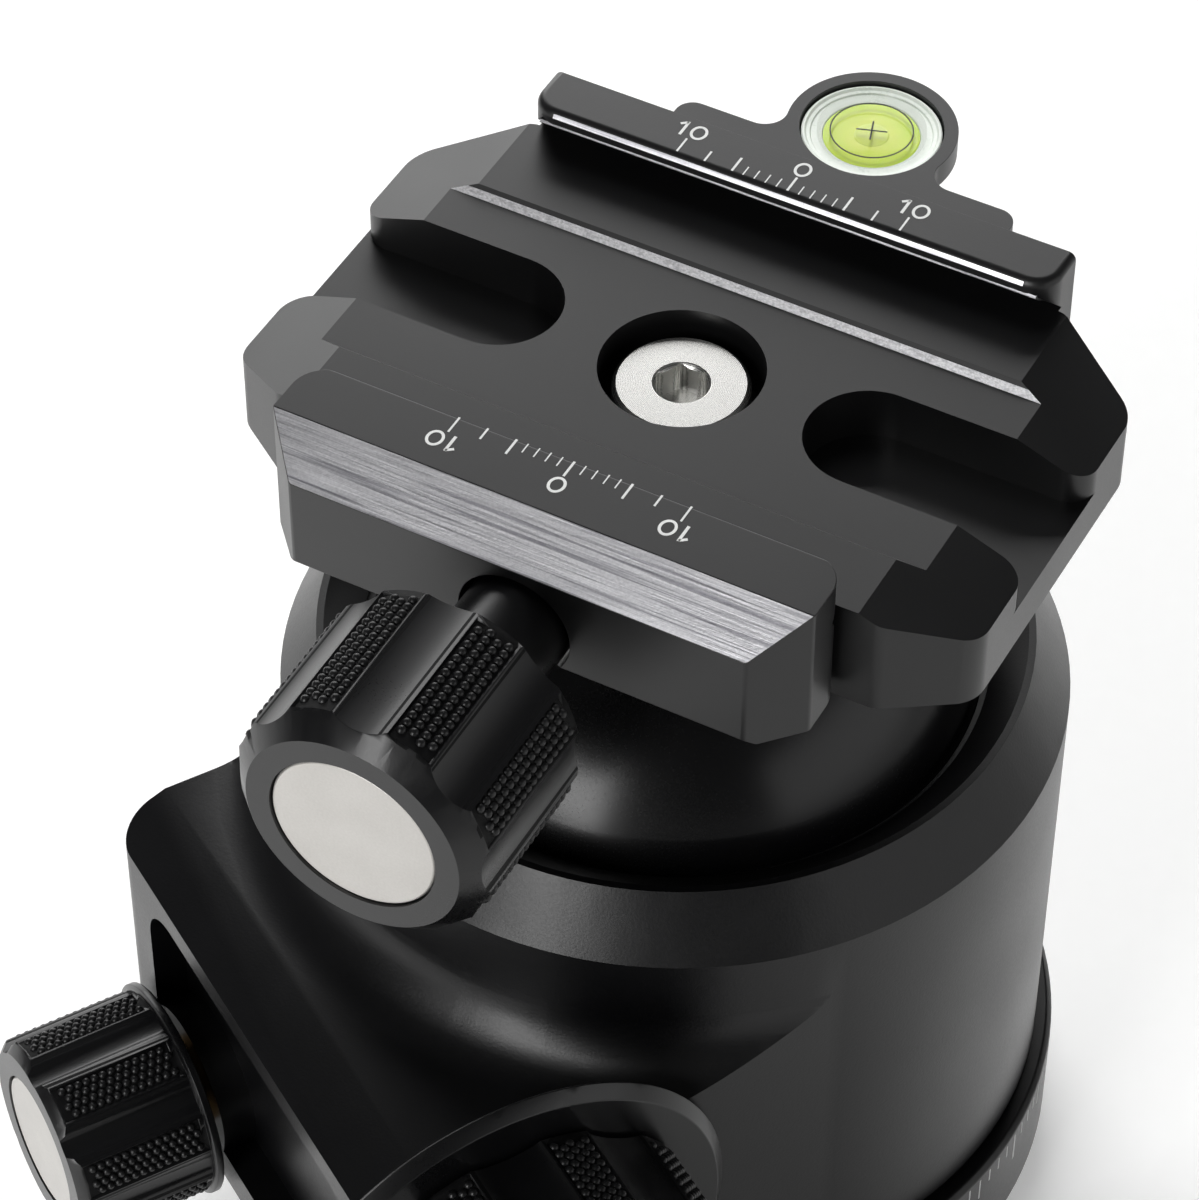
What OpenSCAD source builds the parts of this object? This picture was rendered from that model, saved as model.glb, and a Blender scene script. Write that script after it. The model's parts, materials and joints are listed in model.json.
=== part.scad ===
// Low-profile tripod ball head with a screw-knob quick-release clamp.
// Millimetres, +Z up. The origin is the centre of the base face, on the pan axis.
// +Y points away from the clamp knob, towards the bubble level and the drop notch.

/* [Heights] */
// Height of the ball's lowest point above the base face
ball_floor = 24.5; // [23.5:0.5:27]
// Length of the stem between the top of the ball and the clamp
neck_l = 4; // [3.5:0.25:7]

/* [Ball] */
// Diameter of the ball
ball_d = 54; // [52:0.5:55]
// Diameter of the stem between the ball and the clamp
stem_d = 19; // [16:0.5:22]
// Outer diameter of the cup that carries the ball
cup_outer_d = 48; // [44:0.5:50]
// Diameter of the opening in the middle of that cup
cup_inner_d = 30; // [28:0.5:34]

/* [Housing] */
// How far the outside of the housing stands beyond the ball, all round
housing_side = 6; // [5.5:0.25:8]
// Wall between the bore and the outside
housing_wall = 4.3; // [4:0.1:5]
// Height of the rim's crest above the centre of the ball
crest_up = 11.4; // [10.5:0.1:12]
// Height of the outer cone of the rim
rim_cone_h = 5.5; // [4:0.25:7]
// How far that cone leans in towards the crest
rim_cone_in = 3.2; // [2:0.1:3.4]
// Flat land on the crest
crest_land = 0.6; // [0.4:0.1:1]
// Height of the inner cone below the crest
inner_cone_h = 2.4; // [2:0.1:3]
// Gap between the lip of the housing and the ball
lip_gap = 0.6; // [0.4:0.1:1]
// Clearance between the stem and the drop notch
notch_gap = 0.9; // [0.6:0.1:1.5]
// Height of the seam between the housing and the pan ring
seam_h = 0.7; // [0.6:0.1:1]

/* [Lock block] */
// Angle from the front to the outer face of the block
block_turn = 32.5; // [25:0.5:40]
// Distance from the side of the ball to the outer face of the block
block_out = 17.7; // [16.5:0.1:20]
// Distance from the pan axis to the left side of the block
block_left = 17.8; // [17:0.1:20]
// Depth of the block's top below the centre of the ball
block_drop = 6; // [5.5:0.25:6.5]
// Radius of the cove between the housing and the block
cove_r = 6; // [5:0.5:6.5]
// Width of the sloped band along the outer edge
band_w = 5.2; // [4:0.2:6]
// Fall of that band
band_fall = 2.1; // [1:0.1:3]
// Radius of the left upright corner
block_corner_r = 3.8; // [3:0.1:5.5]
// Width of the frame left between that corner and the pocket
pocket_side = 6.8; // [5:0.1:8]
// Width of the pocket in the outer face
pocket_w = 38; // [34:0.5:39]
// Height of that pocket
pocket_h = 21; // [19:0.5:22]
// Depth of the pocket
pocket_depth = 3; // [2:0.25:3.5]
// Corner radius of the pocket
pocket_r = 4.5; // [3:0.5:6]
// Frame left above the pocket
pocket_frame = 2.3; // [2:0.1:3]

/* [Base] */
// How far the pan ring stands out beyond the housing, all round
pan_ring_out = 1.5; // [1:0.25:3.5]
// Height of the pan ring
pan_ring_h = 10.5; // [9.5:0.5:11]
// Diameter of the foot below it
foot_d = 62; // [58:0.5:66]
// Height of the foot
foot_h = 5; // [4.5:0.25:5.5]
// Minor diameter of the tripod thread
tripod_bore_d = 7.94; // [6:0.02:9]
// Depth of the tripod thread
tripod_bore_h = 12; // [10:0.5:13]
// Outer diameter of the thread insert
insert_d = 13; // [12:0.5:15]
// Distance from the side of the ball in to the side of the pan drum
drum_in = 6; // [5:0.25:7]
// Pitch circle diameter of the screws that hold the drum
drum_screw_pcd = 32; // [31:0.5:34]
// Number of those screws
drum_screws = 4; // [3:1:6]
// Number of screws in the retaining ring
ring_screws = 6; // [4:1:8]

/* [Main lock] */
// Distance from the side of the ball to the axis of the main knob
main_out = 8; // [7.5:0.1:9]
// Height of that axis below the centre of the ball
main_drop = 15.5; // [15.2:0.1:16]
// Diameter of the grip
main_knob_d = 34; // [32:0.2:36]
// Length of the grip
main_knob_l = 17; // [14:0.5:20]
// Diameter of the friction ring behind it
friction_d = 41.2; // [38:0.2:43]
// Thickness of the friction ring
friction_t = 1.3; // [1.2:0.1:2]
// Diameter of the lock shaft
main_shaft_d = 6; // [5:0.5:7]
// Diameter of the wedge that the shaft drives
wedge_d = 9; // [8.5:0.25:9.5]
// Diameter of the shoe that presses on the ball
shoe_d = 8; // [7:0.25:8.5]
// Angle of the wedge
wedge_angle = 12; // [8:1:15]

/* [Pan lock] */
// Sideways distance of the pan knob from the pan axis
pan_side = 5.3; // [4.5:0.1:6]
// Height of the pan knob's axis above the base face
pan_z = 22.7; // [22.5:0.1:23]
// Diameter of the grip
pan_knob_d = 18.8; // [17:0.2:19]
// Length of the grip
pan_knob_l = 12.1; // [9:0.1:13]
// Diameter of the flange behind it
pan_flange_d = 19.4; // [19.2:0.2:21]
// Diameter of the pan lock shaft
pan_shaft_d = 5; // [4:0.25:5.5]

/* [Clamp] */
// Length of the clamp body, along the jaws
body_l = 65.1; // [63:0.1:68]
// Thickness of the clamp body up to its rails
body_t = 9.6; // [9.2:0.1:10]
// Height of the jaws above the rails
jaw_rise = 3.9; // [3.6:0.1:4.3]
// Distance from the centre to the edge of the fixed jaw
fixed_edge = 17.3; // [17:0.1:18]
// Width of the top of the fixed jaw
fixed_top_w = 4.85; // [4.5:0.05:5.5]
// Length of the fixed jaw
fixed_jaw_l = 47; // [44:0.5:48]
// Distance from the centre to the edge of the movable jaw
jaw_edge = 17.4; // [17:0.1:18]
// Width of the top of the movable jaw
jaw_top_w = 5.8; // [5:0.1:7]
// Depth of the bright chamfer along the movable jaw
jaw_chamfer_w = 3.9; // [3:0.1:4.5]
// Height of that chamfer
jaw_chamfer_h = 3.33; // [2.5:0.05:4]
// Length of the movable jaw
jaw_l = 46.4; // [44:0.2:48]
// Height of the movable jaw
jaw_h = 12.5; // [12:0.1:13]
// Thickness of the jaws' upper lips
lip_t = 1.25; // [1:0.05:1.6]
// Distance from the centre to the front face of the clamp body
body_front = 18; // [17.8:0.1:18.5]
// Gap between the clamp body and the movable jaw
jaw_gap = 0.8; // [0.7:0.05:1]
// Depth of the deck below the rails
deck_drop = 0.8; // [0.5:0.1:1.2]
// Width of the slots at the ends
slot_w = 10.7; // [9:0.1:12]
// Depth of those slots below the rails
slot_depth = 5.6; // [4.5:0.1:6.2]
// Distance from the centre to the round end of each slot
slot_end = 11.2; // [10:0.1:13]
// Diameter of the counterbore for the clamp screw
counterbore_d = 13.4; // [12.5:0.1:14]
// Diameter of the head of the clamp screw
screw_head_d = 11.1; // [10:0.1:12]
// Height of that head
screw_head_h = 4; // [3.5:0.1:4.3]
// Diameter of the clamp screw
screw_d = 6; // [5:0.5:7]
// Size of its hexagon socket across the flats
screw_hex = 4; // [3:0.5:5]

/* [Clamp knob] */
// Depth of the knob's axis below the tops of the jaws
knob_drop = 9; // [8.8:0.05:9.1]
// Diameter of the grip
knob_d = 21.8; // [20:0.2:23]
// Length of the grip
knob_l = 15.2; // [13:0.2:18]
// Distance from the centre to the rear of the grip
knob_rear = 36; // [35:0.25:38]
// Diameter of the neck between the grip and the jaw
knob_neck_d = 8.8; // [8:0.1:9.2]
// Diameter of the round recess in the jaw
knob_recess_d = 9.6; // [9.5:0.1:10.4]
// Diameter of the clamp's threaded shaft
shaft_d = 6; // [5:0.5:6.5]
// Distance between the guide pins
pin_spacing = 28; // [26:0.5:32]
// Diameter of the guide pins
pin_d = 3; // [2.5:0.25:3.5]

/* [Level] */
// Distance from the centre to the middle of the bubble level
level_y = 33.8; // [33.2:0.1:35]
// Depth of the level bracket below the tops of the jaws
level_drop = 5.3; // [4.8:0.1:6]
// Thickness of the level bracket
bracket_t = 2.2; // [2:0.1:2.4]
// Width of the bracket
bracket_w = 30.8; // [28:0.2:36]
// How far the bracket stands out behind the jaw
bracket_out = 7.6; // [6:0.1:9]
// Outer diameter of the round lug
lug_d = 14.4; // [13.6:0.2:16]
// Diameter of the level
vial_d = 11.4; // [10:0.2:12]

/* [Fits] */
// Running clearance of turning and sliding fits, on the radius
fit = 0.05; // [0.02:0.01:0.08]
// Clearance between pieces that move past each other
air = 0.35; // [0.3:0.05:0.5]

/* [Hidden] */
$fn = 96;

ball_r = ball_d / 2;
ball_z = ball_floor + ball_r;
head_h = ball_z + ball_r + neck_l + body_t + jaw_rise;
housing_d = ball_d + housing_side * 2;
pan_ring_d = housing_d + pan_ring_out * 2;
drum_d = ball_d - drum_in * 2;
block_reach = ball_r + block_out;
main_reach = ball_r + main_out;
stem_r = stem_d / 2;
housing_r = housing_d / 2;
bore_r = housing_r - housing_wall;
crest_z = ball_z + crest_up;
rim_z = crest_z - rim_cone_h;
crest_r = housing_r - rim_cone_in;
ring_top = foot_h + pan_ring_h;
housing_z = ring_top + seam_h;

// Heights inside the housing, from the seam upwards
retainer_lift = 0.2;
retainer_t = 2.2;
retainer_z = housing_z + retainer_lift;
carrier_z = retainer_z + retainer_t;
drum_flange_t = 1.6;
drum_flange_out = 3;
drum_groove = 1.4;
drum_flange_z = carrier_z + air - 0.05;
web_z = pan_z + 3.3;
web_t = 2;
web_hole_r = 14.5;
spring_t = 0.6;
cup_z = web_z + web_t + spring_t;
cup_top = ball_z - main_drop - shoe_d / 2 - air - 0.15;
lip_under = 8.5;

// Chamfers and small sizes that repeat
edge = 0.5;
fine_edge = 0.3;
eps = 0.02;

// Lock block, measured in its own frame: local +X runs along its outer face
block_top = ball_z - block_drop;
block_lift = 0.3;
block_right = housing_r - 0.25;
band_in = block_reach - band_w;
pocket_top = block_top - band_fall - pocket_frame;
pocket_left = pocket_side - block_left;
main_z = ball_z - main_drop;
main_boss_r = 12;
main_boss_t = 0.4;
shoe_r = shoe_d / 2;
wedge_r = wedge_d / 2;
wedge_l = 16;
wedge_start = -8;
wedge_flat = main_reach - 2.2;
wedge_socket = 4;
main_bush_r = main_shaft_d / 2 + 2;
bush_l = 12;
bush_start = block_right - bush_l;
plug_t = 4;
pan_bush_r = pan_shaft_d / 2 + 1.5;
pan_boss_r = 7;
pan_boss_out = 0.9;
pan_flange_t = 0.8;
pan_shoe_end = drum_d / 2 + 7;

// How far each cap's seat lies in from its grip's side, and how deep it is
main_cap_in = 5.4;
main_cap_deep = 0.8;
pan_cap_in = 3.2;
pan_cap_deep = 0.6;
clamp_cap_in = 3.9;
clamp_cap_deep = 0.7;
cap_gap = 0.15;

// Clamp
rail_z = head_h - jaw_rise;
deck_z = rail_z - deck_drop;
under_z = rail_z - body_t;
body_end = body_l / 2;
end_slope = [[24.35, 0], [32.56, 3.05]];
side_rear = 14.3;
side_front = -13.7;
rear_corner = [23.9, 19.4];
front_corner = [26.1, -body_front];
fixed_back = fixed_edge + fixed_top_w;
deck_rear = 9.8;
deck_front = 10.8;
jaw_back = body_front + jaw_gap;
jaw_front_top = jaw_edge + jaw_top_w;
jaw_front = jaw_front_top + jaw_chamfer_w;
jaw_corner = 3.6;
knob_z = head_h - knob_drop;
knob_front = knob_rear + knob_l;
knob_seat = jaw_front - 3;
shaft_tip = 8.6;
shaft_hole_end = 8;
pin_root = 8;
pin_tip = jaw_front - 2.1;
pin_hole_end = pin_tip + 0.8;
spring_root = 12;
spring_pocket_r = 2.6;
screw_top = head_h - 6.3;
screw_seat = screw_top - screw_head_h;
screw_l = 22;
bracket_screw_z = head_h - level_drop - bracket_t - 2.1;
twist_pin_at = 6.2;
twist_pin_r = 1.25;
twist_pin_l = 7;
bracket_z = head_h - level_drop - bracket_t;
vial_top = head_h - level_drop;
vial_r = vial_d / 2;
vial_wall = 1.1;
vial_floor = 0.4;
lens_drop = 0.55;

// ---------------------------------------------------------------- helpers

// Unit vector from one point to another
function unit(a, b) = (b - a) / norm(b - a);

// Positive where an anticlockwise outline turns outwards at point i
function turn(pts, i) =
    let (n = len(pts), a = pts[(i + n - 1) % n], b = pts[i], c = pts[(i + 1) % n])
    (b[0] - a[0]) * (c[1] - b[1]) - (b[1] - a[1]) * (c[0] - b[0]);

// The sliver between the sharp corner of an outline and its round corner
module corner_sliver(pts, i, r) {
    n = len(pts);
    p = pts[i];
    u = unit(p, pts[(i + n - 1) % n]);
    v = unit(p, pts[(i + 1) % n]);
    half = acos(u * v) / 2;
    mid = (u + v) / norm(u + v);
    centre = p + mid * r / sin(half);
    reach = r / tan(half);
    difference() {
        polygon([p - mid * eps, p + u * reach, centre, p + v * reach]);
        translate(centre) circle(r);
    }
}

// An anticlockwise outline with each corner rounded to its own radius
module soft_outline(pts, radii) {
    difference() {
        union() {
            polygon(pts);
            for (i = [0 : len(pts) - 1])
                if (radii[i] > 0 && turn(pts, i) < 0) corner_sliver(pts, i, radii[i]);
        }
        for (i = [0 : len(pts) - 1])
            if (radii[i] > 0 && turn(pts, i) > 0) corner_sliver(pts, i, radii[i]);
    }
}

// Straight tube along Z
module tube(outer, inner, z0, z1) {
    translate([0, 0, z0]) difference() {
        cylinder(r = outer, h = z1 - z0);
        translate([0, 0, -1]) cylinder(r = inner, h = z1 - z0 + 2);
    }
}

// Straight bar along Z
module bar(r, z0, z1) {
    translate([0, 0, z0]) cylinder(r = r, h = z1 - z0);
}

// Round bar along Z with both ends chamfered
module pin(r, z0, z1, c = fine_edge) {
    rotate_extrude()
        polygon([[0, z0], [r - c, z0], [r, z0 + c], [r, z1 - c], [r - c, z1], [0, z1]]);
}

// Copies spaced evenly round the Z axis
module around(count, radius, start = 0) {
    for (i = [0 : count - 1])
        rotate([0, 0, start + i * 360 / count]) translate([radius, 0, 0]) children();
}

// Local frame of the lock block: +X along its outer face, -Y out of it
module block_frame() {
    rotate([0, 0, -block_turn]) children();
}

// Along the main knob's axis: local +Z points out of the block's side
module toward_side(reach, z) {
    block_frame() translate([0, -reach, z]) rotate([0, 90, 0]) children();
}

// Along the pan knob's axis: local +Z points out of the block's outer face
module toward_face(side, z) {
    block_frame() translate([side, 0, z]) rotate([90, 0, 0]) children();
}

// Along the clamp knob's axis: local +Z points to the front
module toward_front(x, z) {
    translate([x, 0, z]) rotate([90, 0, 0]) children();
}

// Cap screw along +Z, its head at z1 and its tip at z0
module cap_screw(r, head_r, head_h_, z0, z1, hex) {
    difference() {
        union() {
            bar(r, z0, z1 - head_h_ + eps);
            pin(head_r, z1 - head_h_, z1, 0.2);
        }
        translate([0, 0, z1 - head_h_ * 0.6])
            cylinder(d = hex / cos(30), h = head_h_, $fn = 6);
    }
}

// Grip with smooth flutes between its lobes, standing on z = 0.
// Its front has a wide chamfer and a shallow seat for the cap.
module fluted_grip(r, length, flutes, chamfer, cap_r, cap_depth) {
    flute_r = r * 2.5 / flutes;
    flute_depth = r * 0.12;
    difference() {
        rotate_extrude()
            polygon([[0, 0], [r - edge, 0], [r, edge], [r, length - chamfer],
                     [r - chamfer, length], [0, length]]);
        around(flutes, r + flute_r - flute_depth) bar(flute_r, -1, length + 1);
        bar(cap_r, length - cap_depth, length + 1);
    }
}

// ---------------------------------------------------------------- base

module base_plate() {
    foot_r = foot_d / 2;
    ring_r = pan_ring_d / 2;
    color("dimgray") difference() {
        rotate_extrude()
            polygon([[insert_d / 2, 0], [foot_r - edge, 0], [foot_r, edge],
                     [foot_r, foot_h - 1], [foot_r + 1, foot_h], [ring_r - edge, foot_h],
                     [ring_r, foot_h + edge], [ring_r, ring_top - edge],
                     [ring_r - edge, ring_top], [insert_d / 2, ring_top]]);
        // shallow groove that leaves a clean outer land to sit on
        tube(foot_r - 6, insert_d / 2 + 5, -1, 0.6);
        around(drum_screws, drum_screw_pcd / 2) {
            bar(2.1, -1, ring_top + 1);
            bar(3.7, -1, 5);
        }
    }
}

module thread_insert() {
    color("silver") difference() {
        bar(insert_d / 2 - fit / 2, 0, ring_top - eps);
        bar(tripod_bore_d / 2, -1, tripod_bore_h);
    }
}

// The drum carries the housing: its flange runs above the retaining ring
module pan_drum() {
    drum_r = drum_d / 2;
    well_r = 13.2;
    top = web_z - air - 0.05;
    color("gray") difference() {
        rotate_extrude()
            polygon([[0, ring_top], [drum_r - 1, ring_top], [drum_r - 1, drum_flange_z],
                     [drum_r + drum_flange_out, drum_flange_z],
                     [drum_r + drum_flange_out, drum_flange_z + drum_flange_t],
                     [drum_r, drum_flange_z + drum_flange_t],
                     [drum_r, pan_z - drum_groove], [drum_r - drum_groove, pan_z],
                     [drum_r, pan_z + drum_groove],
                     [drum_r, top], [well_r, top], [well_r, ring_top + 4], [0, ring_top + 4]]);
        around(drum_screws, drum_screw_pcd / 2) bar(1.98, ring_top - 1, ring_top + 6);
    }
}

module drum_screws_set() {
    color("silver") around(drum_screws, drum_screw_pcd / 2)
        mirror([0, 0, 1]) cap_screw(1.95, 3.4, 3.6, -ring_top - 5, -1.4, 3);
}

module pan_bearing_washer() {
    color("ivory") tube(pan_ring_d / 2 - 3.5, drum_d / 2 + 1, ring_top, retainer_z - fit);
}

// ---------------------------------------------------------------- housing

// Wall, rim and lip of the housing, as one turned section
module housing_shell() {
    lip_r = sqrt(pow(ball_r, 2) - pow(lip_under, 2)) + lip_gap;
    inner_r = crest_r - crest_land;
    rotate_extrude()
        polygon([[bore_r, housing_z], [housing_r, housing_z], [housing_r, rim_z],
                 [crest_r, crest_z],
                 [inner_r, crest_z], [lip_r, crest_z - inner_cone_h],
                 [lip_r, ball_z + lip_under], [bore_r, ball_z + lip_under]]);
}

// The block that grows out of the wall, with a cove swept round the housing
module lock_block() {
    difference() {
        block_frame() difference() {
            translate([0, 0, housing_z + block_lift])
                linear_extrude(block_top + cove_r - housing_z - block_lift)
                    soft_outline([[-block_left, 0], [-block_left, -block_reach],
                                  [block_right, -block_reach], [block_right, 0]],
                                 [0, block_corner_r, 2.5, 0]);
            // sloped band along the outer edge of the top
            translate([block_left * -2, 0, 0]) rotate([90, 0, 90])
                linear_extrude(block_left * 2 + block_right * 2)
                    polygon([[-band_in, block_top], [-block_reach - 1,
                             block_top - band_fall * (band_w + 1) / band_w],
                             [-block_reach - 1, block_top + 20], [-band_in, block_top + 20]]);
        }
        // cove: everything above it is cut away, all round the wall
        translate([0, 0, block_top]) rotate_extrude() {
            translate([housing_r, cove_r]) square([block_reach, 20]);
            translate([housing_r + cove_r, 0]) square([block_reach, block_reach]);
            translate([housing_r + cove_r, cove_r]) circle(cove_r);
        }
    }
}

// Round-cornered pocket in the outer face, seen from the front of that face
module face_pocket() {
    toward_face(0, 0) translate([0, 0, block_reach - pocket_depth])
        linear_extrude(pocket_depth + 10)
            soft_outline([[pocket_left, pocket_top - pocket_h],
                          [pocket_left + pocket_w, pocket_top - pocket_h],
                          [pocket_left + pocket_w, pocket_top], [pocket_left, pocket_top]],
                         [for (i = [0 : 3]) pocket_r]);
}

// U-shaped notch that lets the stem drop to the horizontal.
// Beside it the wall is relieved along the path of the clamp's underside.
module drop_notch() {
    notch_r = stem_r + notch_gap;
    relief_r = under_z - ball_z - air;
    translate([0, 0, ball_z]) {
        rotate([-90, 0, 0]) bar(notch_r, 0, housing_d);
        translate([-notch_r, 0, 0]) cube([notch_r * 2, housing_d, 40]);
        translate([-housing_r, relief_r, -fixed_back - 4])
            cube([housing_d, 20, fixed_back + 4 + eps]);
        difference() {
            translate([-housing_r, 0, 0]) cube([housing_d, housing_d, 40]);
            rotate([0, 90, 0]) bar(relief_r, -housing_d, housing_d);
        }
    }
}

module housing() {
    color("#26272b") difference() {
        union() {
            housing_shell();
            lock_block();
            toward_side(main_reach, main_z)
                bar(main_boss_r, block_right - 3, block_right + main_boss_t);
        }
        difference() {
            face_pocket();
            toward_face(-pan_side, pan_z)
                bar(pan_boss_r, block_reach - 10, block_reach + pan_boss_out);
        }
        // bore for the ball and seat of the retaining ring
        bar(bore_r, 0, ball_z + lip_under - eps);
        bar(housing_r - 1, 0, carrier_z);
        around(ring_screws, housing_r - 2.6, 30) bar(0.8, 0, carrier_z + 6);
        // channel of the wedge, from the left side of the block
        toward_side(main_reach, main_z) {
            bar(wedge_r + fit, -block_left - 1, bush_start + eps);
            bar(main_bush_r + eps, bush_start, block_right + 5);
        }
        // bore of the shoe that presses on the ball
        toward_face(0, main_z) bar(shoe_r + fit, bore_r - 8, main_reach);
        // bore of the pan lock
        toward_face(-pan_side, pan_z) bar(pan_bush_r, 10, block_reach + 5);
        drop_notch();
    }
}

// Holds the pan drum from above and closes the ball chamber below
module drum_carrier() {
    drum_room = drum_d / 2 + drum_flange_out + air;
    color("gray") difference() {
        rotate_extrude()
            polygon([[drum_room, carrier_z], [bore_r - fit, carrier_z],
                     [bore_r - fit, web_z + web_t], [web_hole_r, web_z + web_t],
                     [web_hole_r, web_z], [drum_room, web_z]]);
        toward_face(-pan_side, pan_z) bar(pan_bush_r, 10, bore_r + 5);
    }
}

module retaining_ring() {
    color("gray") difference() {
        tube(housing_r - 1 - fit, drum_d / 2 - 1 + air, retainer_z, carrier_z);
        around(ring_screws, housing_r - 2.6, 30) {
            bar(0.9, 0, carrier_z + 1);
            bar(1.5, 0, retainer_z + 1);
        }
    }
}

module retaining_ring_screws() {
    color("silver") around(ring_screws, housing_r - 2.6, 30) {
        bar(0.78, retainer_z + 0.5, carrier_z + 5);
        pin(1.4, retainer_z, retainer_z + 1, 0.15);
    }
}

// Low-friction ring that the ball turns in, under the lip; open at the notch
module upper_ball_liner() {
    gap_half = stem_r + notch_gap + 0.6;
    color("ivory") difference() {
        tube(bore_r - fit, ball_r - 4, ball_z + 1.5, ball_z + lip_under - fit);
        translate([0, 0, ball_z]) sphere(r = ball_r + fit);
        translate([-gap_half, 0, ball_z]) cube([gap_half * 2, housing_d, 20]);
    }
}

// Dished spring washer under the lower cup
module cup_spring() {
    outer = cup_outer_d / 2 - 1;
    inner = cup_inner_d / 2 + 2;
    color("silver") rotate_extrude()
        polygon([[inner, web_z + web_t], [outer, web_z + web_t + 0.2], [outer, cup_z - fit],
                 [inner, cup_z - 0.2 - fit]]);
}

module wedge_channel_plug() {
    color("dimgray") toward_side(main_reach, main_z) difference() {
        bar(wedge_r, -block_left + 0.6, -block_left + plug_t);
        translate([0, 0, -block_left]) cylinder(d = 3 / cos(30), h = 3, $fn = 6);
    }
}

module main_shaft_bush() {
    color("goldenrod") toward_side(main_reach, main_z)
        tube(main_bush_r, main_shaft_d / 2 + fit, bush_start, block_right + main_boss_t);
}

module pan_shaft_bush() {
    color("goldenrod") toward_face(-pan_side, pan_z)
        tube(pan_bush_r - eps, pan_shaft_d / 2 + fit, block_reach - bush_l,
             block_reach + pan_boss_out);
}

// Ring under the ball that turns with it
module lower_ball_cup() {
    color("ivory") difference() {
        tube(cup_outer_d / 2, cup_inner_d / 2, cup_z, cup_top);
        translate([0, 0, ball_z]) sphere(r = ball_r + fit);
    }
}

// ---------------------------------------------------------------- locks

// Half space on one side of the wedge's slope: +1 is the ball's side, -1 the other
module beyond_slope(side) {
    toward_side(main_reach, main_z)
        translate([0, main_reach - wedge_flat, wedge_start + wedge_l / 2])
            rotate([-wedge_angle, 0, 0])
                translate([-15, side > 0 ? 0 : -30, -30]) cube([30, 30, 60]);
}

// Its flat side slopes, so that drawing it inwards pushes the shoe onto the ball
module lock_wedge() {
    end = wedge_start + wedge_l;
    color("silver") difference() {
        toward_side(main_reach, main_z) pin(wedge_r, wedge_start, end);
        beyond_slope(1);
        toward_side(main_reach, main_z)
            bar(main_shaft_d / 2 - 1.2 + fit, end - wedge_socket, end + 1);
    }
}

module ball_shoe() {
    color("goldenrod") difference() {
        toward_face(0, main_z) bar(shoe_r, bore_r - 12, wedge_flat + 3);
        translate([0, 0, ball_z]) sphere(r = ball_r + fit);
        translate([sin(block_turn), cos(block_turn), 0] * fit) beyond_slope(-1);
    }
}

module main_shaft() {
    end = wedge_start + wedge_l;
    color("silver") toward_side(main_reach, main_z) {
        bar(main_shaft_d / 2, end + fit, block_right + main_boss_t + 12);
        bar(main_shaft_d / 2 - 1.2, end - wedge_socket + 0.3, end + 1);
    }
}

// Thin ring behind the main knob that sets the friction
module friction_ring() {
    start = block_right + main_boss_t + air;
    ring_r = friction_d / 2;
    color("#1f2023") toward_side(main_reach, main_z) difference() {
        rotate_extrude()
            polygon([[0, start], [ring_r - fine_edge, start], [ring_r, start + fine_edge],
                     [ring_r - 1, start + friction_t], [0, start + friction_t]]);
        bar(main_shaft_d / 2 + 1 + fit, start - 1, start + friction_t + 1);
    }
}

module main_knob() {
    start = block_right + main_boss_t + air + friction_t + air;
    r = main_knob_d / 2;
    color("#1f2023") toward_side(main_reach, main_z) difference() {
        union() {
            translate([0, 0, start])
                fluted_grip(r, main_knob_l, 10, 2.4, r - main_cap_in, main_cap_deep);
            bar(main_shaft_d / 2 + 1, start - friction_t - air, start + 1);
        }
        bar(main_shaft_d / 2 + eps, start - 8, block_right + main_boss_t + 12.1);
    }
}

module main_knob_cap() {
    front = block_right + main_boss_t + air * 2 + friction_t + main_knob_l;
    color("gainsboro") toward_side(main_reach, main_z)
        pin(main_knob_d / 2 - main_cap_in - cap_gap, front - main_cap_deep, front - 0.2, 0.15);
}

module pan_knob() {
    start = block_reach + pan_boss_out + air;
    color("#1f2023") toward_face(-pan_side, pan_z) difference() {
        union() {
            translate([0, 0, start + pan_flange_t])
                fluted_grip(pan_knob_d / 2, pan_knob_l, 8, 1, pan_knob_d / 2 - pan_cap_in,
                            pan_cap_deep);
            pin(pan_flange_d / 2, start, start + pan_flange_t + eps, 0.15);
        }
        bar(pan_shaft_d / 2 + eps, start - 1, start + 7.1);
    }
}

module pan_knob_cap() {
    front = block_reach + pan_boss_out + air + pan_flange_t + pan_knob_l;
    color("gainsboro") toward_face(-pan_side, pan_z)
        pin(pan_knob_d / 2 - pan_cap_in - cap_gap, front - pan_cap_deep, front - 0.1, 0.15);
}

module pan_shaft() {
    color("silver") toward_face(-pan_side, pan_z)
        bar(pan_shaft_d / 2, pan_shoe_end + 0.1, block_reach + pan_boss_out + air + 7);
}

// Wedge-nosed shoe that presses into the drum's groove
module pan_shoe() {
    drum_r = drum_d / 2;
    room = drum_r + drum_flange_out + air;
    ledge = drum_flange_z + drum_flange_t + air;
    color("goldenrod") difference() {
        toward_face(-pan_side, pan_z) bar(pan_bush_r - fit, drum_r - 4, pan_shoe_end);
        rotate_extrude()
            polygon([[0, 0], [room, 0], [room, ledge], [drum_r + air, ledge],
                     [drum_r + air, pan_z - drum_groove],
                     [drum_r + air - drum_groove, pan_z],
                     [drum_r + air, pan_z + drum_groove], [drum_r + air, pan_z + 10],
                     [0, pan_z + 10]]);
    }
}

// ---------------------------------------------------------------- ball

module ball() {
    color("#202124") difference() {
        union() {
            translate([0, 0, ball_z]) sphere(r = ball_r);
            pin(stem_r, ball_z, under_z, 0.2);
        }
        bar(screw_d / 2 + fit, screw_seat - screw_l - 1, under_z + 1);
        for (s = [-1, 1]) translate([s * twist_pin_at, 0, 0])
            bar(twist_pin_r, under_z - twist_pin_l / 2 - 0.2, under_z + 1);
    }
}

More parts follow.
